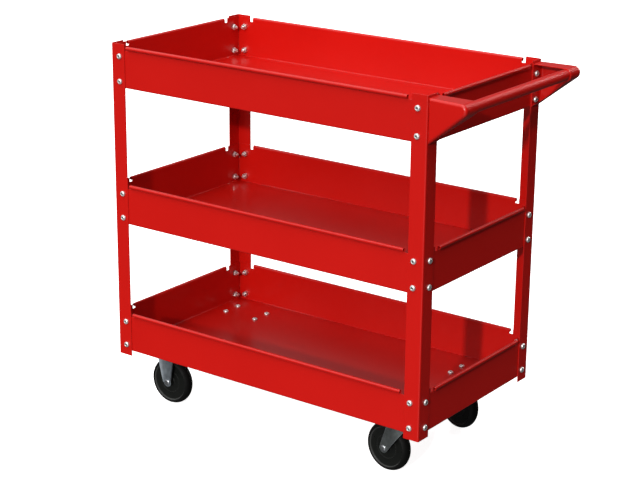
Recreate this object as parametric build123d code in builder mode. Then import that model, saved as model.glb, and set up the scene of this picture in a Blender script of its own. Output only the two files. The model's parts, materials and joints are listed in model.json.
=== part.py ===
from build123d import *
from math import asin, atan2, cos, degrees, hypot, radians, sqrt, tan
import os

# Workshop trolley: three folded steel trays between four angle posts, on two fixed and two swivel casters.
# Millimetres. X runs along the trolley with the push handle at +X, -Y is the front side and +Z is up.
# The origin is on the floor, under the middle of the overall box.

# Frame of four angle posts
frame_length = 660.0  # over the outer faces of the posts
frame_width = 355.0
post_flange = 30.0
post_sheet = 1.5
post_bend = 2.5  # outside radius of the fold
post_drop = 9.0  # posts reach this far below the bottom tray
post_stand = 3.0  # and this far above the top tray's hem

# Trays
tray_depth = 76.0  # underside to the top of the rolled hem
tray_sheet = 1.0
tray_bend = 2.5  # outside radius between floor and walls
middle_rise = 244.5  # undersides, above the bottom tray's underside
top_rise = 495.0
hem_diameter = 6.8
hem_wrap = 280.0  # degrees that the hem is rolled through
side_notch_gap = 0.0  # from the edge of the post flange to the notch, on the long walls
end_notch_gap = 6.0  # and on the end walls
notch_width = 7.0
notch_depth = 8.5
seam_gap = 0.8  # what the two walls at a corner leave open

# Corner screws and nuts
screw_inset = 18.5  # from the outer corner of the post
screw_low = 11.5  # lower row, above the tray's underside
screw_top_inset = 19.5  # upper row, below the top of the hem
head_diameter = 10.5
head_height = 3.3
head_taper = 35.0  # degrees, on the head's flank
head_sides = 12
nut_flats = 10.0
nut_height = 5.0

# Handle
handle_reach = 73.0  # beyond the end faces of the posts
handle_splay = 5.0  # degrees that the brackets lean outward from the posts to the nose
bracket_sheet = 1.5
bracket_bend = 5.0
bracket_margin = 18.5  # bracket's top edge above the upper screw row
grip_diameter = 19.0
grip_wall = 1.5
grip_clearance = 0.1  # around the tube in the bracket's nose
grip_play = 0.5  # between the tube's end and the fold in the nose

# Casters
caster_inset_x = 70.5  # caster plate's middle, from the frame's outer faces
caster_inset_y = 67.0
bolt_spacing_x = 72.0
bolt_spacing_y = 37.5
plate_margin = 11.0  # plate's edge beyond the bolts
plate_corner = 6.0
plate_sheet = 2.5
wheel_diameter = 88.0
wheel_width = 22.0
tyre_drop = 8.0  # from the middle of the round tread to its sides
rim_width = 3.0  # dished ring between tyre and disc
rim_dish = 1.5
hub_wall = 5.0
hub_play = 0.4  # between hub and fork, each side
wheel_fork_gap = 3.0  # between tyre and fork, each side
crown_clearance = 13.0  # between tread and fork crown
fork_sheet = 2.5
fork_bend = 4.5  # outside radius of the fold
leg_width = 42.0  # at the crown
leg_end_radius = 8.5
swivel_trail = 33.0
swivel_turn = {"front": -6.0, "rear": -16.0}  # degrees that the swivel casters stand off straight
crown_diameter = 50.0
race_height = 6.0
race_inner = 28.0
race_outer = 40.0
race_play = 0.1
axle_diameter = 8.0
axle_clearance = 0.06  # running fit in the wheel
rivet_clearance = 0.03  # axle in the fork, kingpin in the plate
rivet_head_diameter = 12.0
rivet_head_height = 2.4
rivet_head_taper = 40.0
kingpin_diameter = 10.0
kingpin_head_diameter = 16.0
kingpin_head_height = 4.0
kingpin_clearance = 0.08  # running fit in the crown
kingpin_play = 0.2  # between kingpin head and crown

# Sizes that follow from these
hem_radius = hem_diameter / 2
tray_length = frame_length - 2 * post_sheet
tray_width = frame_width - 2 * post_sheet
screw_high = tray_depth - screw_top_inset
hem_reach = hem_diameter - tray_sheet - post_sheet  # hem beyond the post's outer face
middle_x = (hem_reach - handle_reach) / 2  # middle of the posts
handle_end_x = middle_x + frame_length / 2

wheel_radius = wheel_diameter / 2
caster_height = wheel_diameter + crown_clearance + fork_sheet + race_height + plate_sheet
plate_bottom = caster_height - plate_sheet
crown_top = plate_bottom - race_height
crown_bottom = crown_top - fork_sheet
fork_inside = wheel_width + 2 * wheel_fork_gap
fork_outside = fork_inside + 2 * fork_sheet

post_bottom = caster_height - post_drop
post_height = post_drop + top_rise + tray_depth + post_stand
tray_undersides = {
    "bottom": caster_height,
    "middle": caster_height + middle_rise,
    "top": caster_height + top_rise,
}
bracket_foot = tray_undersides["top"]
bracket_top = bracket_foot + screw_high + bracket_margin
nose_radius = grip_diameter / 2 + grip_clearance + bracket_sheet
grip_x = handle_end_x + handle_reach - nose_radius
grip_z = bracket_top - nose_radius
foot_to_grip = hypot(grip_x - handle_end_x, grip_z - bracket_foot)
lower_edge_length = sqrt(foot_to_grip**2 - nose_radius**2)  # bracket's straight lower edge, foot to nose
lower_edge_angle = degrees(
    atan2(grip_z - bracket_foot, grip_x - handle_end_x) - asin(nose_radius / foot_to_grip)
)
splay_slope = tan(radians(handle_splay))
nose_splay = (grip_x - handle_end_x) * splay_slope  # how far out the bracket's face is beside the tube
grip_half_length = frame_width / 2 + nose_splay - bracket_bend / cos(radians(handle_splay)) - grip_play

caster_x = frame_length / 2 - caster_inset_x
caster_y = frame_width / 2 - caster_inset_y
sides = {"front": -1, "rear": 1}

# Planes through the middle of the posts: one across the long walls, one across the end walls
side_section = Plane((middle_x, 0, 0), x_dir=(0, 1, 0), z_dir=(1, 0, 0))
end_section = Plane((middle_x, 0, 0), x_dir=(1, 0, 0), z_dir=(0, -1, 0))

os.makedirs("parts", exist_ok=True)


def save(piece, name):
    piece.part.label = name
    export_step(piece.part, f"parts/{name}.step")


# Corner posts: one folded angle, mirrored to the other three corners
with BuildPart() as post_front_left:
    corner = (middle_x - frame_length / 2, -frame_width / 2)
    fold = (corner[0] + post_sheet, corner[1] + post_sheet)
    with BuildSketch(Plane.XY.offset(post_bottom)) as angle:
        with Locations(corner):
            Rectangle(post_flange, post_flange, align=(Align.MIN, Align.MIN))
        fillet(angle.vertices().sort_by_distance((*corner, 0))[0], post_bend)
        with Locations(fold):
            Rectangle(post_flange, post_flange, align=(Align.MIN, Align.MIN), mode=Mode.SUBTRACT)
        fillet(angle.vertices().sort_by_distance((*fold, 0))[0], post_bend - post_sheet)
    extrude(amount=post_height)
save(post_front_left, "post_front_left")

with BuildPart() as post_rear_left:
    mirror(post_front_left.part, about=Plane.XZ)
save(post_rear_left, "post_rear_left")

with BuildPart() as post_front_right:
    mirror(post_front_left.part, about=side_section)
save(post_front_right, "post_front_right")

with BuildPart() as post_rear_right:
    mirror(post_rear_left.part, about=side_section)
save(post_rear_right, "post_rear_right")


# Trays: a folded pan, open at its corner seams, with a rolled hem between two notches on each wall
def cut_hem_room(section, wall_length, notch_start, other_length, underside):
    """Lowers two opposite walls to where the hem begins to roll, with a deeper notch at each hem end."""
    hem_length = wall_length - 2 * (notch_start + notch_width)
    with BuildSketch(section) as room:
        with Locations((0, underside + tray_depth)):
            Rectangle(hem_length, hem_radius, align=(Align.CENTER, Align.MAX))
        for way in (-1, 1):
            with Locations((way * (hem_length + notch_width) / 2, underside + tray_depth)):
                Rectangle(notch_width, notch_depth, align=(Align.CENTER, Align.MAX))
    extrude(room.sketch, amount=other_length / 2, both=True, mode=Mode.SUBTRACT)
    return hem_length


def roll_hems(section, wall_inside, hem_length, underside):
    """Rolls the tops of two opposite walls outward."""
    centre = (wall_inside + hem_radius, underside + tray_depth - hem_radius)
    with BuildSketch(section) as curl:
        with BuildLine():
            outer = CenterArc(centre, hem_radius, 180, -hem_wrap)
            inner = CenterArc(centre, hem_radius - tray_sheet, 180, -hem_wrap)
            Line(outer @ 0, inner @ 0)
            Line(outer @ 1, inner @ 1)
        make_face()
        mirror(about=Plane.YZ)
    extrude(curl.sketch, amount=hem_length / 2, both=True)


for level, underside in tray_undersides.items():
    with BuildPart() as tray:
        with BuildSketch(Plane.XY.offset(underside)):
            with Locations((middle_x, 0)):
                Rectangle(tray_length, tray_width)
        extrude(amount=tray_depth)
        fillet(tray.faces().sort_by(Axis.Z)[0].edges(), tray_bend)
        offset(amount=-tray_sheet, openings=tray.faces().sort_by(Axis.Z)[-1])
        with BuildSketch(Plane.XY.offset(underside)):
            with Locations((middle_x, 0)):
                with GridLocations(tray_length, tray_width, 2, 2):
                    Rectangle(2 * (tray_sheet + seam_gap), 2 * (tray_sheet + seam_gap))
        extrude(amount=tray_depth, mode=Mode.SUBTRACT)
        side_hem = cut_hem_room(
            end_section, frame_length, post_flange + side_notch_gap, frame_width, underside
        )
        end_hem = cut_hem_room(
            side_section, frame_width, post_flange + end_notch_gap, frame_length, underside
        )
        roll_hems(side_section, tray_width / 2 - tray_sheet, side_hem, underside)
        roll_hems(end_section, tray_length / 2 - tray_sheet, end_hem, underside)
    save(tray, f"tray_{level}")


# Handle: two pressed brackets with a rounded nose, and a tube nested in the noses
bracket_face = Plane((handle_end_x, -frame_width / 2, 0), z_dir=(-splay_slope, -1, 0))
lower_edge = Plane((handle_end_x, -frame_width / 2, bracket_foot)).rotated((0, -lower_edge_angle, 0))
rim_cut_start = 4 * bracket_sheet  # clear of the flange against the post

with BuildPart() as handle_bracket_front:
    with BuildSketch(Plane.XZ.offset(frame_width / 2 - post_flange)):
        with BuildLine():
            Line((handle_end_x, bracket_foot), (handle_end_x, bracket_top))
            CenterArc((grip_x, grip_z), nose_radius, 0, 360)
        make_hull()
    extrude(amount=post_flange + handle_reach * splay_slope)
    split(bisect_by=bracket_face, keep=Keep.BOTTOM)
    fillet(handle_bracket_front.faces().sort_by(Axis.Y)[0].edges(), bracket_bend)
    offset(amount=-bracket_sheet, openings=handle_bracket_front.faces().sort_by(Axis.Y)[-1])
    # The lower rim narrows from its full depth near the nose to the bare fold at the foot
    with BuildSketch(lower_edge):
        Polygon(
            (rim_cut_start, bracket_bend),
            (rim_cut_start, bracket_bend + post_flange),
            (lower_edge_length, bracket_bend + post_flange),
            align=None,
        )
    extrude(amount=2 * bracket_sheet, both=True, mode=Mode.SUBTRACT)
save(handle_bracket_front, "handle_bracket_front")

with BuildPart() as handle_bracket_rear:
    mirror(handle_bracket_front.part, about=Plane.XZ)
save(handle_bracket_rear, "handle_bracket_rear")

with BuildPart() as handle_tube:
    with BuildSketch(Plane.XZ):
        with Locations((grip_x, grip_z)):
            Circle(grip_diameter / 2)
            Circle(grip_diameter / 2 - grip_wall, mode=Mode.SUBTRACT)
    extrude(amount=grip_half_length, both=True)
save(handle_tube, "handle_tube")


# Fasteners: button heads outside, hexagon nuts inside
def corner_seats(underside, end_x, side_y, handle_extra):
    """Planes facing outward at the 16 screws of one tray, on faces end_x and side_y from the middle."""
    seats = []
    for way_x in (-1, 1):
        for way_y in (-1, 1):
            for height in (screw_low, screw_high):
                side_place = (
                    middle_x + way_x * (frame_length / 2 - screw_inset),
                    way_y * side_y,
                    underside + height,
                )
                seats.append(Plane(side_place, z_dir=(0, way_y, 0)))
                end_place = (
                    middle_x + way_x * end_x + (handle_extra if way_x > 0 else 0),
                    way_y * (frame_width / 2 - screw_inset),
                    underside + height,
                )
                seats.append(Plane(end_place, z_dir=(way_x, 0, 0)))
    return seats


for level, underside in tray_undersides.items():
    bracket_under_heads = bracket_sheet if level == "top" else 0
    with BuildPart() as corner_screws:
        with BuildSketch(*corner_seats(underside, frame_length / 2, frame_width / 2, bracket_under_heads)):
            RegularPolygon(head_diameter / 2, head_sides)
        extrude(amount=head_height, taper=head_taper)
    save(corner_screws, f"corner_screws_{level}")

    with BuildPart() as corner_nuts:
        wall_x = tray_length / 2 - tray_sheet
        wall_y = tray_width / 2 - tray_sheet
        with BuildSketch(*corner_seats(underside, wall_x, wall_y, 0)):
            RegularPolygon(nut_flats / 2, 6, major_radius=False)
        extrude(amount=-nut_height)
    save(corner_nuts, f"corner_nuts_{level}")

caster_places = [(middle_x + way_x * caster_x, way_y * caster_y) for way_x in (-1, 1) for way_y in (-1, 1)]

with BuildPart() as caster_screws:
    with BuildSketch(Plane.XY.offset(caster_height + tray_sheet)):
        with Locations(*caster_places):
            with GridLocations(bolt_spacing_x, bolt_spacing_y, 2, 2):
                RegularPolygon(head_diameter / 2, head_sides)
    extrude(amount=head_height, taper=head_taper)
save(caster_screws, "caster_screws")

with BuildPart() as caster_nuts:
    with BuildSketch(Plane.XY.offset(plate_bottom)):
        with Locations(*caster_places):
            with GridLocations(bolt_spacing_x, bolt_spacing_y, 2, 2):
                RegularPolygon(nut_flats / 2, 6, major_radius=False)
    extrude(amount=-nut_height)
save(caster_nuts, "caster_nuts")


# Casters
def build_plate(place_x, place_y, kingpin_hole):
    with BuildPart() as plate:
        with BuildSketch(Plane.XY.offset(plate_bottom)):
            with Locations((place_x, place_y)):
                RectangleRounded(
                    bolt_spacing_x + 2 * plate_margin, bolt_spacing_y + 2 * plate_margin, plate_corner
                )
                if kingpin_hole:
                    Circle(kingpin_diameter / 2 + rivet_clearance, mode=Mode.SUBTRACT)
        extrude(amount=plate_sheet)
    return plate


def build_fork(caster, web_top, trail):
    """A folded fork: a channel across the wheel, trimmed to the outline of its two tapered legs."""
    with BuildPart() as fork:
        across = Plane(caster.origin, x_dir=caster.y_dir, z_dir=caster.x_dir)
        along = Plane(caster.origin, x_dir=caster.x_dir, z_dir=-caster.y_dir)
        with BuildSketch(across) as channel:
            with Locations((0, web_top)):
                Rectangle(fork_outside, web_top, align=(Align.CENTER, Align.MAX))
            fillet(channel.vertices().group_by(Axis.Z)[-1], fork_bend)
        extrude(amount=leg_width + trail, both=True)
        with BuildSketch(across) as inside:
            with Locations((0, web_top - fork_sheet)):
                Rectangle(fork_inside, web_top, align=(Align.CENTER, Align.MAX))
            fillet(inside.vertices().group_by(Axis.Z)[-1], fork_bend - fork_sheet)
        extrude(amount=leg_width + trail, both=True, mode=Mode.SUBTRACT)
        with BuildSketch(along):
            with BuildLine():
                Line((-leg_width / 2, web_top), (leg_width / 2, web_top))
                CenterArc((-trail, wheel_radius), leg_end_radius, 0, 360)
            make_hull()
        extrude(amount=fork_outside, both=True, mode=Mode.INTERSECT)
        with BuildSketch(along):
            with Locations((-trail, wheel_radius)):
                Circle(axle_diameter / 2 + rivet_clearance)
        extrude(amount=fork_outside, both=True, mode=Mode.SUBTRACT)
        if trail:
            with BuildSketch(caster.offset(web_top)):
                Circle(crown_diameter / 2)
            extrude(amount=-fork_sheet)
            with BuildSketch(caster.offset(web_top)):
                Circle(kingpin_diameter / 2 + kingpin_clearance)
            extrude(amount=-fork_sheet, mode=Mode.SUBTRACT)
    return fork


def build_axle(caster, trail):
    """A rod with a riveted head outside each fork leg."""
    centre = caster.from_local_coords((-trail, 0, wheel_radius))
    leg_face = fork_outside / 2
    head_end = leg_face + rivet_head_height
    head_flat_radius = rivet_head_diameter / 2 - rivet_head_height * tan(radians(rivet_head_taper))
    with BuildPart() as axle:
        with BuildSketch(Plane(centre, x_dir=caster.y_dir, z_dir=caster.x_dir)):
            with BuildLine():
                Polyline(
                    (0, 0),
                    (0, axle_diameter / 2),
                    (leg_face, axle_diameter / 2),
                    (leg_face, rivet_head_diameter / 2),
                    (head_end, head_flat_radius),
                    (head_end, 0),
                    close=True,
                )
            make_face()
            mirror(about=Plane.YZ)
        revolve(axis=Axis(centre, caster.y_dir))
    return axle


def build_wheel(caster, trail):
    """Moulded wheel: round tyre, dished rim ring, flat disc and hub."""
    centre = caster.from_local_coords((-trail, 0, wheel_radius))
    bore_radius = axle_diameter / 2 + axle_clearance
    hub_radius = bore_radius + hub_wall
    tyre_side_radius = wheel_radius - tyre_drop
    disc_radius = tyre_side_radius - rim_width
    hub_half = fork_inside / 2 - hub_play
    disc_half = wheel_width / 2 - rim_dish
    with BuildPart() as wheel:
        with BuildSketch(Plane(centre, x_dir=caster.y_dir, z_dir=caster.x_dir)):
            with BuildLine():
                tread = TangentArc(
                    (0, wheel_radius), (wheel_width / 2, tyre_side_radius), tangent=(1, 0)
                )
                Polyline(
                    tread @ 1,
                    (disc_half, disc_radius),
                    (disc_half, hub_radius),
                    (hub_half, hub_radius),
                    (hub_half, bore_radius),
                    (0, bore_radius),
                    tread @ 0,
                )
            make_face()
            mirror(about=Plane.YZ)
        revolve(axis=Axis(centre, caster.y_dir))
    return wheel


def build_race(place_x, place_y):
    with BuildPart() as race:
        with BuildSketch(Plane.XY.offset(plate_bottom)):
            with Locations((place_x, place_y)):
                Circle(race_outer / 2)
                Circle(race_inner / 2, mode=Mode.SUBTRACT)
        extrude(amount=race_play - race_height)
    return race


def build_kingpin(place_x, place_y):
    with BuildPart() as kingpin:
        with BuildSketch(Plane.XY.offset(caster_height)):
            with Locations((place_x, place_y)):
                Circle(kingpin_diameter / 2)
        extrude(amount=crown_bottom - kingpin_play - caster_height)
        with BuildSketch(Plane.XY.offset(crown_bottom - kingpin_play)):
            with Locations((place_x, place_y)):
                Circle(kingpin_head_diameter / 2)
        extrude(amount=-kingpin_head_height)
    return kingpin


for side, way_y in sides.items():
    place_y = way_y * caster_y

    fixed_x = middle_x - caster_x
    fixed_caster = Plane((fixed_x, place_y, 0))
    save(build_plate(fixed_x, place_y, False), f"fixed_plate_{side}")
    save(build_fork(fixed_caster, plate_bottom, 0), f"fixed_fork_{side}")
    save(build_axle(fixed_caster, 0), f"fixed_axle_{side}")
    save(build_wheel(fixed_caster, 0), f"fixed_wheel_{side}")

    swivel_x = middle_x + caster_x
    swivel_caster = Plane((swivel_x, place_y, 0)).rotated((0, 0, swivel_turn[side]))
    save(build_plate(swivel_x, place_y, True), f"swivel_plate_{side}")
    save(build_race(swivel_x, place_y), f"ball_race_{side}")
    save(build_kingpin(swivel_x, place_y), f"kingpin_{side}")
    save(build_fork(swivel_caster, crown_top, swivel_trail), f"swivel_fork_{side}")
    save(build_axle(swivel_caster, swivel_trail), f"swivel_axle_{side}")
    save(build_wheel(swivel_caster, swivel_trail), f"swivel_wheel_{side}")
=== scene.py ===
import json
from math import atan2, cos, degrees, pi, radians, sin

import bmesh
import bpy
from mathutils import Euler, Matrix, Vector

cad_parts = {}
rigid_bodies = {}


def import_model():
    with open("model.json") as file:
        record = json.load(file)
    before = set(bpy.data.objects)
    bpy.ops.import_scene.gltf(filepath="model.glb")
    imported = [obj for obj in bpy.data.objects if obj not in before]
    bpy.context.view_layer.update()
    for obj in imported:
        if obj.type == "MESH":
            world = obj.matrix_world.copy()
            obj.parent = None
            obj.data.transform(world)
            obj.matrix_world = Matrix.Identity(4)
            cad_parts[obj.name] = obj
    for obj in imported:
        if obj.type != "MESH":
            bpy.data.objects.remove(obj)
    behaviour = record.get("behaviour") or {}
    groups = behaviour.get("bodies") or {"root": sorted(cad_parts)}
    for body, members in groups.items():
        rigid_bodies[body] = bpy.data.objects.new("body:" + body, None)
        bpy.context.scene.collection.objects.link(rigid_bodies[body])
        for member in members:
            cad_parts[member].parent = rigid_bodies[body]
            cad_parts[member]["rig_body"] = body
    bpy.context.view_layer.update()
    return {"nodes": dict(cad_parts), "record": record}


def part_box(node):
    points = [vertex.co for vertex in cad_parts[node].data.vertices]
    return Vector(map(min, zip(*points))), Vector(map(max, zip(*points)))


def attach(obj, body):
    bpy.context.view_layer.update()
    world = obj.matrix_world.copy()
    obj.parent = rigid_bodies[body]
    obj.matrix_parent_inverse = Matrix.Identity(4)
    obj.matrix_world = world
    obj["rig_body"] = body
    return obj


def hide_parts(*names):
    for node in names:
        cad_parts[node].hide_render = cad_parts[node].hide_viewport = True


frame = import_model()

# Workshop trolley: painted sheet metal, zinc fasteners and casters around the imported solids.
# Metres, in the frame of the CAD model: +X towards the push handle, -Y is the front side, +Z up.

# From the record
slots = {part["node"]: part["material_slot"] for part in frame["record"]["subparts"]}
joints = {joint["name"]: joint for joint in frame["record"]["behaviour"]["joints"]}

# Camera, at the photograph's viewing angle
camera_place = (1.69325, -2.3786, 1.2889)
camera_azimuth = 36.03  # degrees from -Y towards +X
camera_elevation = 17.85
camera_roll = 0.57
camera_lens = 97.3  # mm on the sensor below
camera_sensor = 36.0
camera_range = 100.0

# Light and floor
sun_lamps = {  # azimuth and elevation that each shines from, strength, degrees across
    "key": (16.0, 21.5, 1.74, 2.0),
    "rear_fill": (184.0, 8.5, 1.6, 15.0),
}
sun_tint = (1.0, 0.985, 0.965)
soft_sources = {  # soft light from each side: direction, strength, how narrow
    "above": ((0, 0, 1), 2.39, 10),
    "high_front": ((0, -0.707, 0.707), 2.55, 6),
    "high_far_end": ((-0.707, 0, 0.707), 0.94, 6),
    "high_handle_end": ((0.707, 0, 0.707), 0.09, 6),
    "high_rear": ((0.22, 0.75, 0.62), 1.05, 28),
    "front": ((0, -1, 0), 0.07, 2),
    "rear": ((0, 1, 0), 0.085, 2),
    "far_end": ((-1, 0, 0), 0.3, 2),
    "below": ((0, 0, -1), 0.08, 1),
    "floor_in_front": ((0.25, -0.87, -0.42), 0.7, 12),
}
skyline_sources = ("rear", "far_end")  # these fade out towards the floor
skyline_fade = (0.02, 0.12)  # upward part of the direction, where they start and where they are full
floor_size = 30.0
floor_glow = 0.9
floor_roughness = 0.9

# Colours, linear; a pair is the darker and the lighter shade of a cloudy finish
black = (0.0, 0.0, 0.0)
white = (1.0, 1.0, 1.0)
paint_shades = ((0.52, 0.0046, 0.0022), (0.545, 0.0054, 0.0028))
# lighter red on cut edges: partly thinner paint, partly a painted highlight along the edges
thin_paint_and_highlight = (0.62, 0.026, 0.020)
thin_paint_and_highlight_share = 0.12
head_shades = ((0.78, 0.78, 0.78), (0.92, 0.92, 0.91))
nut_shades = ((0.84, 0.84, 0.84), (0.97, 0.97, 0.96))
pin_shades = ((0.36, 0.37, 0.39), (0.50, 0.52, 0.54))
# painted shade: near black mixed into hollows, such as screw sockets and round the feet of heads and nuts
painted_hollow_shade = (0.02, 0.02, 0.02)
fixed_zinc_shades = ((0.29, 0.33, 0.37), (0.40, 0.45, 0.495))
# swivel pair: greyer, and darker than the fixed pair as painted shade
swivel_zinc_in_painted_shade = ((0.145, 0.160, 0.160), (0.205, 0.225, 0.225))
zinc_blot = (0.20, 0.21, 0.21)
# lighter zinc on edges: partly wear, partly a painted highlight
zinc_wear_and_highlight = (0.62, 0.66, 0.70)
zinc_wear_and_highlight_share = 0.35
disc_shades = ((0.0080, 0.0088, 0.0080), (0.016, 0.016, 0.015))
# lighter black on the wheel's edges: partly wear, partly a painted highlight
disc_wear_and_highlight = (0.045, 0.046, 0.044)
disc_wear_and_highlight_share = 0.5
# rim ring drawn lighter than the disc: a painted highlight on the slanted ring
rim_painted_highlight = (0.060, 0.062, 0.060)
rim_smoother = 0.07  # roughness of rim ring and tyre, against the disc's
tyre_colour = (0.0022, 0.0023, 0.0021)
tyre_rougher = 0.35
floor_shades = ((0.88, 0.88, 0.88), (0.90, 0.90, 0.90))

# Rounding of cut sheet edges
weld_distance = 1e-6
flat_angle = radians(1.0)
cut_edge_angle = radians(32.0)
smooth_angle = radians(38.0)
turned_angle = radians(24.0)
paint_edge = 0.00035
pressed_edge = 0.0009
turned_edge = 0.0004
over_everything = 10.0  # a height above the whole trolley

# Fasteners
fastener_segments = 24
socket_flats = 0.004
socket_depth = 0.0024
socket_point = socket_flats / 6  # depth of the cone at its bottom
socket_lip = 0.0003
head_land = 0.0005  # upright band under the dome
dome_steps = 5
flange_diameter = 0.0106
flange_height = 0.0006
flange_slope = 0.3  # rise from the flange to the hexagon, in flange heights
nut_chamfer = 0.16  # height of the hexagon's cut corners, and how far its top draws in, in half flats
nut_draw_in = 0.04
thread_diameter = 0.006
thread_gap = 0.0004  # width and depth of the groove round the screw's end
corner_stand = 0.0046  # screw's end beyond the nut, at the corners and under the caster plates
caster_stand = 0.0012
thread_chamfer = 0.0008

# Wheels and axles
turned_segments = 72
turned_map = "profile"  # UV map of turned pieces: place along the axis, radius
axle_diameter = 0.008
bore_clearance = 0.00006
bore_chamfer = 0.0006
hub_wall = 0.005
hub_proud = 0.0026  # hub's end beyond the tyre's side
hub_round = 0.0008
hub_draft = 0.0002
hub_foot = 0.0012
bead_radius = 0.021  # moulded ring on the disc
bead_size = 0.0007
rim_dish = 0.0038  # depth of the disc below the tyre's side
rim_crease = 0.0003
rim_step = 0.0001
rim_rise = 0.002  # height of the slanted ring round the disc
rim_starts = 0.0349  # radius where this ring starts, and where the tyre does
tyre_starts = 0.0364
tyre_lip = 0.0012  # flat band on the tyre's side
tyre_lip_round = 0.0002
tyre_drop = 0.0053  # from the middle of the tread to its sides
tread_steps = 12
tread_ends = 88  # degrees, just short of the tread's middle
colour_fade = 0.0003  # radius over which one moulding's colour changes to the next
rivet_height = 0.0024
rivet_land = 0.0004
rivet_dimple = 0.0016  # radius of the dimple in a rivet's head
dimple_depth = 0.0003

# Forks
crown_bend = 0.0047
leg_half_top = 0.021  # fork leg, at the top and round the axle
leg_half_end = 0.0085
lip_share = 0.6  # where the fixed fork's turned-out edges start, across half a leg
lip_slope = 0.55
lip_fade = (0.090, 0.105)  # heights between which the pressing of either fork runs out
shoulder_start = 0.017  # where the swivel fork's leg starts to turn in, ahead of its axle
shoulder_reach = 0.022
shoulder_curve = 12.0
shoulder_cuts = 5  # strips that the pressed sheet is cut into
fixed_leg_cuts = 10
swivel_leg_cuts = 8
fork_segments = 3  # in each rounded edge


# Mesh helpers

def finish_mesh(name, bm, corner=smooth_angle):
    """Turns a bmesh into an object with smooth faces and crisp corners."""
    bmesh.ops.recalc_face_normals(bm, faces=bm.faces)
    mesh = bpy.data.meshes.new(name)
    bm.to_mesh(mesh)
    bm.free()
    mesh.shade_smooth()
    mesh.set_sharp_from_angle(angle=corner)
    piece = bpy.data.objects.new(name, mesh)
    bpy.context.scene.collection.objects.link(piece)
    return piece


def stand_in_for(bm, node_name, corner=smooth_angle):
    """Puts a new piece in the place of a CAD node, on the same body and in the same material slot."""
    piece = finish_mesh(f"{node_name}_dressed", bm, corner)
    node = frame["nodes"][node_name]
    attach(piece, node["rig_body"])
    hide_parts(node_name)
    finish = "dull_zinc" if "nuts" in node_name else slots[node_name]  # nuts share the screws' slot
    piece.data.materials.append(materials[finish])
    return piece


def welded(node_name):
    """A CAD node's mesh with its vertices joined along the edges."""
    bm = bmesh.new()
    bm.from_mesh(frame["nodes"][node_name].data)
    bmesh.ops.remove_doubles(bm, verts=bm.verts, dist=weld_distance)
    return bm


def soften(node_name, radius, segments=2, press=None, below=over_everything):
    """A copy of a CAD node with its cut edges below a height rounded, and its sheet pressed on request."""
    bm = welded(node_name)
    bmesh.ops.dissolve_limit(bm, angle_limit=flat_angle, verts=bm.verts, edges=bm.edges)
    cut_edges = [
        edge for edge in bm.edges
        if len(edge.link_faces) == 2
        and edge.calc_face_angle() > cut_edge_angle
        and max(vert.co.z for vert in edge.verts) < below
    ]
    bmesh.ops.bevel(
        bm, geom=cut_edges, offset=radius, offset_type="OFFSET", segments=segments, profile=0.5,
        affect="EDGES", clamp_overlap=False,
    )
    if press is not None:
        press(bm)
    piece = stand_in_for(bm, node_name)
    weighted = piece.modifiers.new("weighted_normals", "WEIGHTED_NORMAL")
    weighted.keep_sharp = True


def solid_boxes(node_name):
    """Lowest and highest corner of each separate solid in a CAD node, in a steady order."""
    bm = welded(node_name)
    unseen = set(bm.verts)
    boxes = []
    while unseen:
        border = [unseen.pop()]
        corners = []
        while border:
            vert = border.pop()
            corners.append(vert.co.copy())
            for edge in vert.link_edges:
                other = edge.other_vert(vert)
                if other in unseen:
                    unseen.remove(other)
                    border.append(other)
        low = Vector(min(c[i] for c in corners) for i in range(3))
        high = Vector(max(c[i] for c in corners) for i in range(3))
        boxes.append((low, high))
    bm.free()
    return sorted(boxes, key=lambda box: [round(value, 5) for value in box[0]])


def ring(radius, height, sides=0, count=fastener_segments):
    """Points round the Z axis: a circle, or a polygon whose flats are at that radius."""
    points = []
    for step in range(count):
        angle = 2 * pi * step / count
        reach = radius
        if sides:
            part = 2 * pi / sides
            reach = radius / cos((angle + part / 2) % part - part / 2)
        points.append(Vector((reach * cos(angle), reach * sin(angle), height)))
    return points


def stack_rings(bm, rings, place, first_tip=None, last_tip=None):
    """Skins a row of rings, closed at each end by a point on the axis where one is given."""
    loops = [[bm.verts.new(place @ point) for point in points] for points in rings]
    count = len(loops[0])
    for lower, upper in zip(loops, loops[1:]):
        for step in range(count):
            after = (step + 1) % count
            bm.faces.new((lower[step], lower[after], upper[after], upper[step]))
    for loop, tip in ((loops[0], first_tip), (loops[-1], last_tip)):
        if tip is not None:
            centre = bm.verts.new(place @ Vector((0, 0, tip)))
            for step in range(count):
                bm.faces.new((loop[step], loop[(step + 1) % count], centre))


# Material helpers

def new_material(name):
    """An empty material with its node tree and shader."""
    material = bpy.data.materials.new(name)
    material.use_nodes = True
    shader = material.node_tree.nodes["Principled BSDF"]
    return material, material.node_tree, shader


def link(tree, source, target):
    tree.links.new(source, target)


def noise(tree, scale, detail=2.0, roughness=0.5, stretch=(1, 1, 1)):
    """Noise in the frame's metres: scale counts waves in a metre."""
    coordinates = tree.nodes.new("ShaderNodeTexCoord")
    mapping = tree.nodes.new("ShaderNodeMapping")
    mapping.inputs["Scale"].default_value = stretch
    texture = tree.nodes.new("ShaderNodeTexNoise")
    texture.inputs["Scale"].default_value = scale
    texture.inputs["Detail"].default_value = detail
    texture.inputs["Roughness"].default_value = roughness
    link(tree, coordinates.outputs["Object"], mapping.inputs["Vector"])
    link(tree, mapping.outputs["Vector"], texture.inputs["Vector"])
    return texture.outputs["Fac"]


def spread(tree, value, low=0.0, high=1.0, start=0.3, end=0.7):
    """Maps a value between start and end, by default the middle part of a noise, to low and high."""
    node = tree.nodes.new("ShaderNodeMapRange")
    node.inputs["From Min"].default_value = start
    node.inputs["From Max"].default_value = end
    node.inputs["To Min"].default_value = low
    node.inputs["To Max"].default_value = high
    link(tree, value, node.inputs["Value"])
    return node.outputs["Result"]


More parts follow.
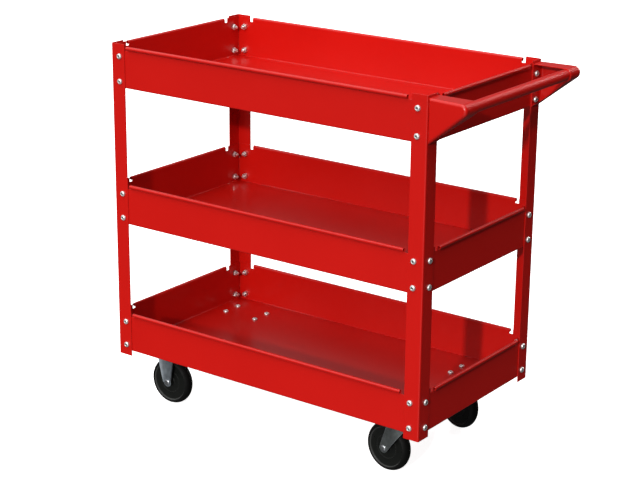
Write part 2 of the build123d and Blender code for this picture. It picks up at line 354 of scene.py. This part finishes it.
def mix_colour(tree, share, first, second):
    """Mixes two colours, each a plain colour or the output of another node."""
    node = tree.nodes.new("ShaderNodeMix")
    node.data_type = "RGBA"
    node.clamp_factor = False
    link(tree, share, node.inputs["Factor"])
    for socket, colour in ((node.inputs[6], first), (node.inputs[7], second)):
        if isinstance(colour, tuple):
            socket.default_value = (*colour, 1)
        else:
            link(tree, colour, socket)
    return node.outputs[2]


def combine(tree, operation, first, second):
    """A sum, product or the like of two values, each a number or the output of another node."""
    node = tree.nodes.new("ShaderNodeMath")
    node.operation = operation
    for socket, value in zip(node.inputs, (first, second)):
        if isinstance(value, (int, float)):
            socket.default_value = value
        else:
            link(tree, value, socket)
    return node.outputs[0]


def bump(tree, height, distance, strength, below=None):
    """Relief as high as the distance, on top of another relief where one is given."""
    node = tree.nodes.new("ShaderNodeBump")
    node.inputs["Strength"].default_value = strength
    node.inputs["Distance"].default_value = distance
    link(tree, height, node.inputs["Height"])
    if below is not None:
        link(tree, below, node.inputs["Normal"])
    return node.outputs["Normal"]


def edge_share(tree, radius):
    """How near a point is to a convex or hollow edge, from 0 on flat sheet to about 1 on the edge."""
    rounded = tree.nodes.new("ShaderNodeBevel")
    rounded.samples = 4
    rounded.inputs["Radius"].default_value = radius
    geometry = tree.nodes.new("ShaderNodeNewGeometry")
    product = tree.nodes.new("ShaderNodeVectorMath")
    product.operation = "DOT_PRODUCT"
    link(tree, rounded.outputs["Normal"], product.inputs[0])
    link(tree, geometry.outputs["Normal"], product.inputs[1])
    return spread(tree, product.outputs["Value"], low=1.0, high=0.0, start=0.8, end=0.99)


def recess_share(tree, distance):
    """How deep in a hollow a point lies, from 0 in the open to about 1."""
    hidden = tree.nodes.new("ShaderNodeAmbientOcclusion")
    hidden.samples = 8
    hidden.inputs["Distance"].default_value = distance
    return spread(tree, hidden.outputs["AO"], low=1.0, high=0.0, start=0.4, end=0.85)


# Materials

def make_red_paint():
    """Gloss enamel: slight cloudiness, fine orange peel, faint sheet waves, lighter cut edges that are
    partly thinner paint and partly a painted highlight.
    """
    material, tree, shader = new_material("red_paint")
    cloud = spread(tree, noise(tree, scale=6.0, detail=3.0))
    colour = mix_colour(tree, cloud, *paint_shades)
    # painted highlight along cut edges, partly standing for thinner paint there
    thin_and_highlit = combine(tree, "MULTIPLY", edge_share(tree, radius=0.0008), thin_paint_and_highlight_share)
    link(tree, mix_colour(tree, thin_and_highlit, colour, thin_paint_and_highlight), shader.inputs["Base Color"])
    scuffs = noise(tree, scale=45.0, detail=5.0, roughness=0.7)
    scuffed = spread(tree, scuffs, low=0.28, high=0.31, start=0.5, end=0.8)
    link(tree, scuffed, shader.inputs["Roughness"])
    wave = bump(tree, noise(tree, scale=5.0, detail=1.0), distance=0.001, strength=0.05)
    peel = bump(tree, noise(tree, scale=600.0, detail=1.0), distance=0.00003, strength=0.12, below=wave)
    link(tree, peel, shader.inputs["Normal"])
    shader.inputs["Specular IOR Level"].default_value = 0.5
    shader.inputs["Coat Weight"].default_value = 0.1
    shader.inputs["Coat Roughness"].default_value = 0.12
    return material


def make_plated(name, shades, grain, roughness, metal, recess=None):
    """Plated steel: cloudy grain in colour and roughness, fine brushing in the bump, painted shade in
    hollows where a recess distance is given.
    """
    material, tree, shader = new_material(name)
    cloud = spread(tree, noise(tree, grain, detail=3.0, roughness=0.6))
    colour = mix_colour(tree, cloud, *shades)
    if recess is not None:
        # painted shade: darker the deeper a point lies in a hollow
        colour = mix_colour(tree, recess_share(tree, recess), colour, painted_hollow_shade)
    link(tree, colour, shader.inputs["Base Color"])
    shader.inputs["Metallic"].default_value = metal
    dull = spread(tree, noise(tree, grain * 2, detail=4.0), low=roughness - 0.06, high=roughness + 0.08)
    link(tree, dull, shader.inputs["Roughness"])
    brushing = noise(tree, grain * 5, detail=2.0, roughness=0.6, stretch=(1, 1, 0.2))
    link(tree, bump(tree, brushing, distance=0.00004, strength=0.25), shader.inputs["Normal"])
    return material


def make_fork_zinc():
    """Dull zinc on the casters: bluish on the fixed pair; greyer on the swivel pair, and darker there as
    painted shade; lighter on edges, partly wear and partly a painted highlight.
    """
    material, tree, shader = new_material("zinc_plate")
    coordinates = tree.nodes.new("ShaderNodeTexCoord")
    place = tree.nodes.new("ShaderNodeSeparateXYZ")
    link(tree, coordinates.outputs["Object"], place.inputs[0])
    swivel_end = spread(tree, place.outputs["X"], start=0.0, end=0.08)
    cloud = spread(tree, noise(tree, scale=120.0, detail=3.0, roughness=0.6))
    fixed_pair = mix_colour(tree, cloud, *fixed_zinc_shades)
    # painted shade: the swivel pair takes darker shades of the same zinc
    swivel_pair_in_painted_shade = mix_colour(tree, cloud, *swivel_zinc_in_painted_shade)
    colour = mix_colour(tree, swivel_end, fixed_pair, swivel_pair_in_painted_shade)
    blots = noise(tree, scale=25.0, detail=4.0, roughness=0.65)
    colour = mix_colour(tree, spread(tree, blots, high=0.4, start=0.5, end=0.75), colour, zinc_blot)
    # edges lightened: partly wear, partly a painted highlight
    worn_and_lit_edge = combine(tree, "MULTIPLY", edge_share(tree, radius=0.003), zinc_wear_and_highlight_share)
    link(tree, mix_colour(tree, worn_and_lit_edge, colour, zinc_wear_and_highlight), shader.inputs["Base Color"])
    shader.inputs["Metallic"].default_value = 0.85
    dull = spread(tree, noise(tree, scale=240.0, detail=4.0), low=0.36, high=0.5)
    link(tree, dull, shader.inputs["Roughness"])
    brushing = noise(tree, scale=600.0, detail=2.0, roughness=0.6, stretch=(1, 1, 0.2))
    link(tree, bump(tree, brushing, distance=0.00004, strength=0.3), shader.inputs["Normal"])
    return material


def make_black_wheel():
    """Moulded black rubber compound: dull tyre, smoother rim ring and disc, floor dust and fine grain; the
    rim ring drawn lighter as a painted highlight, and edges lighter, partly wear and partly painted
    highlight.
    """
    material, tree, shader = new_material("black_wheel")
    profile_place = tree.nodes.new("ShaderNodeUVMap")
    profile_place.uv_map = turned_map
    turned_place = tree.nodes.new("ShaderNodeSeparateXYZ")
    link(tree, profile_place.outputs["UV"], turned_place.inputs[0])
    radius = turned_place.outputs["Y"]
    tyre = spread(tree, radius, start=tyre_starts, end=tyre_starts + colour_fade)
    past_disc = spread(tree, radius, start=rim_starts, end=rim_starts + colour_fade)
    rim = combine(tree, "SUBTRACT", past_disc, tyre)
    dust = noise(tree, scale=90.0, detail=5.0, roughness=0.65)
    colour = mix_colour(tree, spread(tree, dust, high=0.35, start=0.5, end=0.8), *disc_shades)
    # edges of the disc, bead and hub lightened: partly wear, partly a painted highlight
    worn_and_lit_edge = combine(tree, "MULTIPLY", edge_share(tree, radius=0.001), disc_wear_and_highlight_share)
    colour = mix_colour(tree, worn_and_lit_edge, colour, disc_wear_and_highlight)
    # painted highlight: the slanted rim ring is coloured lighter
    colour = mix_colour(tree, rim, colour, rim_painted_highlight)
    colour = mix_colour(tree, tyre, colour, tyre_colour)
    link(tree, colour, shader.inputs["Base Color"])
    dull = spread(tree, noise(tree, scale=150.0, detail=3.0), low=0.27, high=0.35)
    dull = combine(tree, "SUBTRACT", dull, combine(tree, "MULTIPLY", rim, rim_smoother))
    dull = combine(tree, "ADD", dull, combine(tree, "MULTIPLY", tyre, tyre_rougher))
    link(tree, dull, shader.inputs["Roughness"])
    grain = noise(tree, scale=1200.0, detail=2.0)
    link(tree, bump(tree, grain, distance=0.00004, strength=0.3), shader.inputs["Normal"])
    shader.inputs["Specular IOR Level"].default_value = 0.22
    return material


def make_pale_floor():
    """Matt white that glows, so that shadows on it stay faint."""
    material, tree, shader = new_material("pale_floor")
    shade = spread(tree, noise(tree, scale=3.0))
    link(tree, mix_colour(tree, shade, *floor_shades), shader.inputs["Base Color"])
    shader.inputs["Roughness"].default_value = floor_roughness
    shader.inputs["Specular IOR Level"].default_value = 0.0
    shader.inputs["Emission Color"].default_value = (*white, 1)
    shader.inputs["Emission Strength"].default_value = floor_glow
    return material


materials = {
    "red_paint": make_red_paint(),
    "bright_zinc": make_plated(
        "bright_zinc", head_shades, grain=400.0, roughness=0.4, metal=0.8, recess=0.003,
    ),
    "dull_zinc": make_plated(
        "dull_zinc", nut_shades, grain=400.0, roughness=0.34, metal=0.93, recess=0.005,
    ),
    "zinc_plate": make_fork_zinc(),
    "steel_pins": make_plated("steel_pins", pin_shades, grain=300.0, roughness=0.3, metal=0.95),
    "black_wheel": make_black_wheel(),
}


# Fasteners

def fastener_seats(node_name, outward):
    """Where each solid of a group sits, Z along its axis away from the sheet, with its height and width."""
    middle = (frame_middle.x, frame_middle.y, 0)
    seats = []
    for low, high in solid_boxes(node_name):
        size = high - low
        axis = min(range(3), key=lambda i: size[i])
        centre = (low + high) / 2
        away = outward if centre[axis] > middle[axis] else -outward
        direction = Vector(away if i == axis else 0 for i in range(3))
        base = centre.copy()
        base[axis] = low[axis] if away > 0 else high[axis]
        turn = direction.to_track_quat("Z", "Y").to_matrix().to_4x4()
        seats.append((Matrix.Translation(base) @ turn, size[axis], max(size)))
    return seats


def add_button_head(bm, place, height, diameter):
    """Domed screw head with a hexagon socket."""
    rim = socket_flats / 2 + 2 * socket_lip
    rings = [ring(diameter / 2, 0), ring(diameter / 2, head_land)]
    for step in range(1, dome_steps + 1):
        angle = pi / 2 * step / dome_steps
        reach = rim + (diameter / 2 - rim) * cos(angle)
        rings.append(ring(max(reach, rim), head_land + (height - head_land) * sin(angle)))
    rings.append(ring(socket_flats / 2 + socket_lip, height - socket_lip / 3, 6))
    rings.append(ring(socket_flats / 2, height - socket_lip, 6))
    rings.append(ring(socket_flats / 2, height - socket_depth, 6))
    stack_rings(bm, rings, place, 0, height - socket_depth - socket_point)


def add_flange_nut(bm, place, height, corners, thread_stand):
    """Hexagon nut on its flange, with the screw's end standing out of it."""
    flats = corners * cos(pi / 6) / 2
    rings = [
        ring(flange_diameter / 2, 0),
        ring(flange_diameter / 2, flange_height / 2),
        ring(flange_diameter / 2, flange_height),
        ring(flats, flange_height * (1 + flange_slope), 6),
        ring(flats, height - flats * nut_chamfer, 6),
        ring(flats * (1 - nut_draw_in), height),
        ring(thread_diameter / 2 + thread_gap, height),
        ring(thread_diameter / 2, height - thread_gap),
        ring(thread_diameter / 2, height + thread_stand - thread_chamfer),
        ring(thread_diameter / 2 - thread_chamfer, height + thread_stand),
    ]
    stack_rings(bm, rings, place, 0, height + thread_stand)


def build_fasteners(node_name, outward, add_one, *sizes):
    """One piece for a group: a fastener on the seat of each of its solids."""
    bm = bmesh.new()
    for place, height, width in fastener_seats(node_name, outward):
        add_one(bm, place, height, width, *sizes)
    stand_in_for(bm, node_name)


# Casters

def axle_line(kind, side):
    """Centre and direction of a wheel's axle, from the joint that the wheel rolls on."""
    joint = joints[f"{kind}_wheel_{side}_roll"]
    return Vector(joint["pos_m"]), Vector(joint["axis"]).normalized()


def reach_along(node_name, centre, axis):
    """How far a CAD node reaches from a point along an axis."""
    return max(abs((vert.co - centre).dot(axis)) for vert in frame["nodes"][node_name].data.vertices)


def turned(node_name, half, centre, axis, tips=False):
    """Replaces a node by a piece turned about an axis, from (distance from its middle, radius) pairs."""
    profile = half + [(-along, radius) for along, radius in reversed(half)]
    place = Matrix.Translation(centre) @ axis.to_track_quat("Z", "Y").to_matrix().to_4x4()
    bm = bmesh.new()
    rings = [ring(radius, along, 0, turned_segments) for along, radius in profile]
    if tips:
        stack_rings(bm, rings, place, profile[0][0], profile[-1][0])
    else:
        stack_rings(bm, rings + rings[:1], place)
        bmesh.ops.remove_doubles(bm, verts=bm.verts, dist=weld_distance)
    to_local = place.inverted()
    profile_map = bm.loops.layers.uv.new(turned_map)
    for face in bm.faces:
        for loop in face.loops:
            point = to_local @ loop.vert.co
            loop[profile_map].uv = (point.z, point.xy.length)
    stand_in_for(bm, node_name, turned_angle)


def arc(centre, radius, start, end, steps):
    """Points on an arc in a turned profile, angles in degrees from the turning axis outward."""
    points = []
    for step in range(steps + 1):
        angle = radians(start + (end - start) * step / steps)
        points.append((centre[0] + radius * cos(angle), centre[1] + radius * sin(angle)))
    return points


def build_wheel(kind, side):
    """Round tyre, a slanted ring down to the flat disc, a moulded ring on the disc, and a hub."""
    node_name = f"{kind}_wheel_{side}"
    centre, axis = axle_line(kind, side)
    low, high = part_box(node_name)
    radius = (high.z - low.z) / 2
    hub_half = reach_along(node_name, centre, axis)
    tyre_half = hub_half - hub_proud
    disc_half = tyre_half - rim_dish
    tyre_curve = (tyre_half**2 + tyre_drop**2) / (2 * tyre_drop)
    tread_starts = degrees(atan2(tyre_curve - tyre_drop, tyre_half))
    lip_radius = radius - tyre_drop - tyre_lip
    hub_radius = axle_diameter / 2 + hub_wall
    bore = axle_diameter / 2 + bore_clearance
    half = [(hub_half - bore_chamfer, bore), (hub_half, bore + bore_chamfer)]
    half += arc((hub_half - hub_round, hub_radius - hub_round), hub_round, start=0, end=90, steps=3)
    half += [
        (disc_half + hub_foot, hub_radius + hub_draft),
        (disc_half, hub_radius + hub_draft + hub_foot),
    ]
    half += arc((disc_half, bead_radius), bead_size, start=-90, end=90, steps=6)
    half += [
        (disc_half, rim_starts - rim_crease),
        (disc_half + rim_step, rim_starts),
        (disc_half + rim_rise, tyre_starts),
        (tyre_half - tyre_lip_round, lip_radius),
        (tyre_half, lip_radius + tyre_lip_round),
    ]
    half += arc((0, radius - tyre_curve), tyre_curve, tread_starts, tread_ends, tread_steps)
    turned(node_name, half, centre, axis)


def build_axle(kind, side):
    """Rod with a domed rivet head at each end."""
    node_name = f"{kind}_axle_{side}"
    centre, axis = axle_line(kind, side)
    low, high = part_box(node_name)
    end = reach_along(node_name, centre, axis)
    head_radius = (high.z - low.z) / 2
    head_start = end - rivet_height
    dome_height = rivet_height - rivet_land
    dimple_floor = rivet_dimple * 0.4
    dimple_rim = rivet_dimple * 1.5
    half = [
        (end - dimple_depth, dimple_floor),
        (end - dimple_depth / 3, rivet_dimple),
        (end, dimple_rim),
    ]
    for step in range(1, dome_steps + 1):
        angle = pi / 2 * step / dome_steps
        half.append((
            head_start + rivet_land + dome_height * cos(angle),
            dimple_rim + (head_radius - dimple_rim) * sin(angle),
        ))
    half += [(head_start, head_radius), (head_start, axle_diameter / 2)]
    turned(node_name, half, centre, axis, tips=True)


def split_along(bm, point, normal):
    """Cuts every face that a plane crosses."""
    geometry = bm.verts[:] + bm.edges[:] + bm.faces[:]
    bmesh.ops.bisect_plane(bm, geom=geometry, plane_co=point, plane_no=normal)


def leg_press(height):
    """Share of a fork's pressing at a height: whole on the legs, none at the crown."""
    return max(0, min(1, (lip_fade[1] - height) / (lip_fade[1] - lip_fade[0])))


def press_fixed_fork(side):
    """Turns the long edges of a fixed fork's legs outward."""
    centre, axis = axle_line("fixed", side)
    up = Vector((0, 0, 1))
    forward = axis.cross(up)
    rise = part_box(f"fixed_fork_{side}")[1].z - centre.z
    widen = (leg_half_top - leg_half_end) / rise

    def press(bm):
        for way in (-1, 1):
            crease = centre + way * lip_share * leg_half_end * forward
            split_along(bm, crease, way * forward - lip_share * widen * up)
        for step in range(1, fixed_leg_cuts):
            split_along(bm, centre + rise * step / fixed_leg_cuts * up, up)
        for vert in bm.verts:
            place = vert.co - centre
            beyond = abs(place.dot(forward)) - lip_share * (leg_half_end + widen * max(place.z, 0))
            if beyond > 0 and place.z > 0:
                away = 1 if place.dot(axis) > 0 else -1
                vert.co += away * lip_slope * beyond * leg_press(vert.co.z) * axis

    return press


def press_swivel_fork(side):
    """Curves the leading shoulders of a swivel fork's legs in towards its crown."""
    centre, axis = axle_line("swivel", side)
    up = Vector((0, 0, 1))
    forward = axis.cross(up)
    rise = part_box(f"swivel_fork_{side}")[1].z - centre.z

    def press(bm):
        for step in range(shoulder_cuts + 1):
            ahead = shoulder_start + shoulder_reach * step / shoulder_cuts
            split_along(bm, centre + ahead * forward, forward)
        for step in range(1, swivel_leg_cuts):
            split_along(bm, centre + rise * step / swivel_leg_cuts * up, up)
        for vert in bm.verts:
            place = vert.co - centre
            beyond = min(place.dot(forward) - shoulder_start, shoulder_reach)
            if beyond > 0:
                away = 1 if place.dot(axis) > 0 else -1
                vert.co -= away * shoulder_curve * beyond**2 * leg_press(vert.co.z) * axis

    return press


# Stage

def build_floor():
    """Plain pale floor that neither lights the trolley nor shows in its reflections."""
    bm = bmesh.new()
    bmesh.ops.create_grid(bm, x_segments=1, y_segments=1, size=floor_size / 2)
    floor = finish_mesh("floor", bm)
    floor.data.materials.append(make_pale_floor())
    floor.visible_diffuse = False
    floor.visible_glossy = False


def build_world():
    """Broad soft light from several sides for shade and reflections, in a plain white surround."""
    world = bpy.data.worlds.new("studio")
    bpy.context.scene.world = world
    world.use_nodes = True
    tree = world.node_tree
    coordinates = tree.nodes.new("ShaderNodeTexCoord")
    upward = tree.nodes.new("ShaderNodeSeparateXYZ")
    link(tree, coordinates.outputs["Generated"], upward.inputs[0])
    above_floor = spread(tree, upward.outputs["Z"], start=skyline_fade[0], end=skyline_fade[1])

    def lobe(direction, strength, narrow):
        facing = tree.nodes.new("ShaderNodeVectorMath")
        facing.operation = "DOT_PRODUCT"
        facing.inputs[1].default_value = direction
        link(tree, coordinates.outputs["Generated"], facing.inputs[0])
        share = combine(tree, "POWER", combine(tree, "MAXIMUM", facing.outputs["Value"], 0.0), narrow)
        return combine(tree, "MULTIPLY", share, strength)

    total = 0.0
    for name, source in soft_sources.items():
        light = lobe(*source)
        if name in skyline_sources:
            light = combine(tree, "MULTIPLY", light, above_floor)
        total = combine(tree, "ADD", total, light)
    soft = mix_colour(tree, total, black, white)
    path = tree.nodes.new("ShaderNodeLightPath")
    colour = mix_colour(tree, path.outputs["Is Camera Ray"], soft, white)
    link(tree, colour, tree.nodes["Background"].inputs["Color"])


def aim(azimuth, elevation, roll=0.0):
    """Turns a camera or light to look at the trolley from that side and height."""
    turn_up = Euler((radians(90 - elevation), 0, 0)).to_matrix()
    turn_round = Euler((0, 0, radians(azimuth))).to_matrix()
    turn_roll = Euler((0, 0, radians(roll))).to_matrix()
    return (turn_round @ turn_up @ turn_roll).to_4x4()


def build_sun_lamps():
    """A key light from the front, and a softer one from the rear."""
    for name, (azimuth, elevation, strength, across) in sun_lamps.items():
        light = bpy.data.lights.new(name, "SUN")
        light.energy = strength
        light.angle = radians(across)
        light.color = sun_tint
        lamp = bpy.data.objects.new(name, light)
        lamp.matrix_world = aim(azimuth, elevation)
        bpy.context.scene.collection.objects.link(lamp)


def build_camera():
    """The camera, where the photograph was taken from."""
    camera = bpy.data.objects.new("camera", bpy.data.cameras.new("camera"))
    camera.data.lens = camera_lens
    camera.data.sensor_width = camera_sensor
    camera.data.clip_end = camera_range
    turn = aim(camera_azimuth, camera_elevation, camera_roll)
    camera.matrix_world = Matrix.Translation(camera_place) @ turn
    bpy.context.scene.collection.objects.link(camera)
    bpy.context.scene.camera = camera


# The whole trolley
post_low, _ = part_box("post_front_left")
_, post_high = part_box("post_rear_right")
frame_middle = (post_low + post_high) / 2
fork_pressing = {"fixed": press_fixed_fork, "swivel": press_swivel_fork}

for side in ("front", "rear"):
    for end in ("left", "right"):
        soften(f"post_{side}_{end}", paint_edge)
    soften(f"handle_bracket_{side}", paint_edge)
    for kind in ("fixed", "swivel"):
        soften(f"{kind}_plate_{side}", pressed_edge)
        fork_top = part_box(f"{kind}_fork_{side}")[1].z
        press = fork_pressing[kind](side)
        soften(f"{kind}_fork_{side}", pressed_edge, fork_segments, press, fork_top - crown_bend)
        build_wheel(kind, side)
        build_axle(kind, side)
    soften(f"ball_race_{side}", turned_edge)
    soften(f"kingpin_{side}", turned_edge)
for level in ("bottom", "middle", "top"):
    soften(f"tray_{level}", paint_edge)
    build_fasteners(f"corner_screws_{level}", 1, add_button_head)
    build_fasteners(f"corner_nuts_{level}", -1, add_flange_nut, corner_stand)
build_fasteners("caster_screws", 1, add_button_head)
build_fasteners("caster_nuts", -1, add_flange_nut, caster_stand)
soften("handle_tube", paint_edge)

build_floor()
build_world()
build_sun_lamps()
build_camera()
bpy.context.scene.view_settings.view_transform = "Standard"
